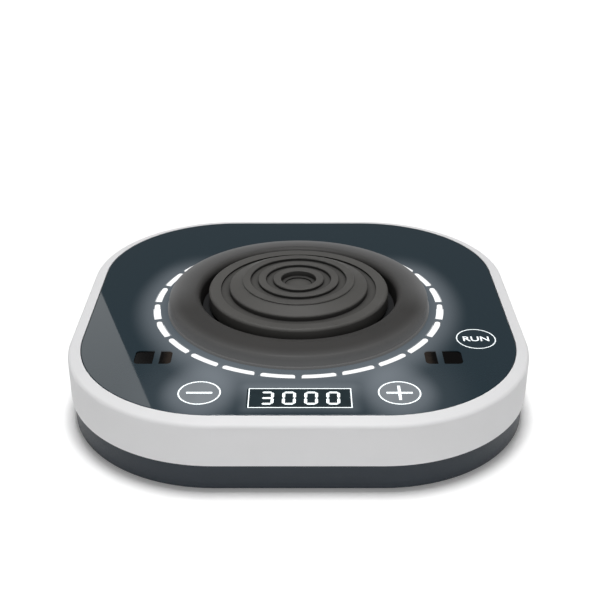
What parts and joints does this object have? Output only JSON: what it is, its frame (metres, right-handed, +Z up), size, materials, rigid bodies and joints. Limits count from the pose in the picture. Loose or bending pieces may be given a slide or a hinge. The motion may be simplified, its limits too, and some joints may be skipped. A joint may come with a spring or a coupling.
{
  "type": "vortex mixer",
  "caption": "Flat square vortex mixer: ribbed rubber cup orbiting in a rubber collar, glossy touch panel with a ring of light bars, display and touch keys, on a shallow housing.",
  "frame": {"origin": "on the ground under the centre of the housing, on the motor axis", "axes": "+Z up along the motor axis, -Y towards the display and keys, +X to the right of the display"},
  "size_m": [0.1484, 0.1484, 0.0332],
  "materials": {
    "white_plastic": "satin",
    "slate_plastic": "fine texture",
    "panel_gloss": "polished",
    "collar_rubber": "soft matte",
    "cup_rubber": "soft matte",
    "foot_rubber": "matte",
    "light_diffuser": "translucent, lit from below",
    "display_window": "smoked",
    "sensor_lens": "smoked",
    "circuit_board": "solder mask",
    "component_black": "moulded",
    "led_white": "lit",
    "key_foam": "conductive foam",
    "tape": "adhesive foam",
    "steel": "ground",
    "screw_steel": "zinc plated",
    "motor_steel": "pressed",
    "aluminium": "machined",
    "copper_wire": "enamelled",
    "magnet": "sintered",
    "brass": "turned",
    "black_plastic": "fine texture",
    "bush_rubber": "matte",
    "wire_skin": "insulation"
  },
  "bodies": {
    "housing": {"base_tray": "slate_plastic", "housing_ring": "white_plastic", "top_panel": "panel_gloss", "panel_tape": "tape", "rubber_collar": "collar_rubber", "light_guide": "light_diffuser", "ring_leds": "led_white", "control_board": "circuit_board", "board_chips": "component_black", "board_header": "component_black", "board_screws": "screw_steel", "display_module": "component_black", "display_window": "display_window", "sensor_lens_left": "sensor_lens", "sensor_lens_right": "sensor_lens", "sensor_blocks": "component_black", "touch_pads": "key_foam", "rubber_feet": "foot_rubber", "base_screws": "screw_steel", "chassis_plate": "steel", "rubber_mounts": "bush_rubber", "mount_screws": "screw_steel", "deck_posts": "steel", "top_deck": "black_plastic", "deck_screws": "screw_steel", "guide_pins": "steel", "motor_base": "aluminium", "motor_screws": "screw_steel", "motor_bearing_outers": "steel", "stator_core": "motor_steel", "stator_windings": "copper_wire", "motor_leads": "wire_skin", "driver_board": "circuit_board", "driver_screws": "screw_steel", "driver_parts": "component_black", "dc_jack": "black_plastic", "dc_jack_pin": "brass"},
    "rotor": {"rotor_bell": "motor_steel", "rotor_magnet": "magnet", "motor_shaft": "steel", "motor_bearing_inners": "steel", "shaft_clip": "steel", "eccentric_hub": "steel", "hub_set_screw": "screw_steel", "counterweight": "brass", "head_bearing_inner": "steel", "pin_clip": "steel"},
    "motor_balls": {"motor_bearing_balls": "steel"},
    "head_balls": {"head_bearing_balls": "steel"},
    "mixing_head": {"cup_carrier": "aluminium", "head_bearing_outer": "steel", "bearing_circlip": "steel", "guide_bushes": "bush_rubber"},
    "cup": {"mixing_cup": "cup_rubber"}
  },
  "joints": [
    {"name": "shaft_spin", "type": "hinge", "parent": "housing", "child": "rotor", "pos_m": [0, 0, 0.012], "axis": [0, 0, 1], "continuous": true},
    {"name": "cup_orbit", "type": "hinge", "parent": "rotor", "child": "mixing_head", "pos_m": [0, 0.0015, 0.0258], "axis": [0, 0, 1], "continuous": true},
    {"name": "motor_ball_spin", "type": "hinge", "parent": "housing", "child": "motor_balls", "pos_m": [0, 0, 0.0124], "axis": [0, 0, 1], "continuous": true},
    {"name": "head_ball_spin", "type": "hinge", "parent": "rotor", "child": "head_balls", "pos_m": [0, 0.0015, 0.0258], "axis": [0, 0, 1], "continuous": true},
    {"name": "cup_pull", "type": "slide", "parent": "mixing_head", "child": "cup", "axis": [0, 0, 1], "range_m": [0, 0.03]}
  ],
  "couplings": [
    {"joint": "cup_orbit", "follows": "shaft_spin", "ratio": -1},
    {"joint": "motor_ball_spin", "follows": "shaft_spin", "ratio": 0.3875},
    {"joint": "head_ball_spin", "follows": "shaft_spin", "ratio": -0.6333}
  ]
}
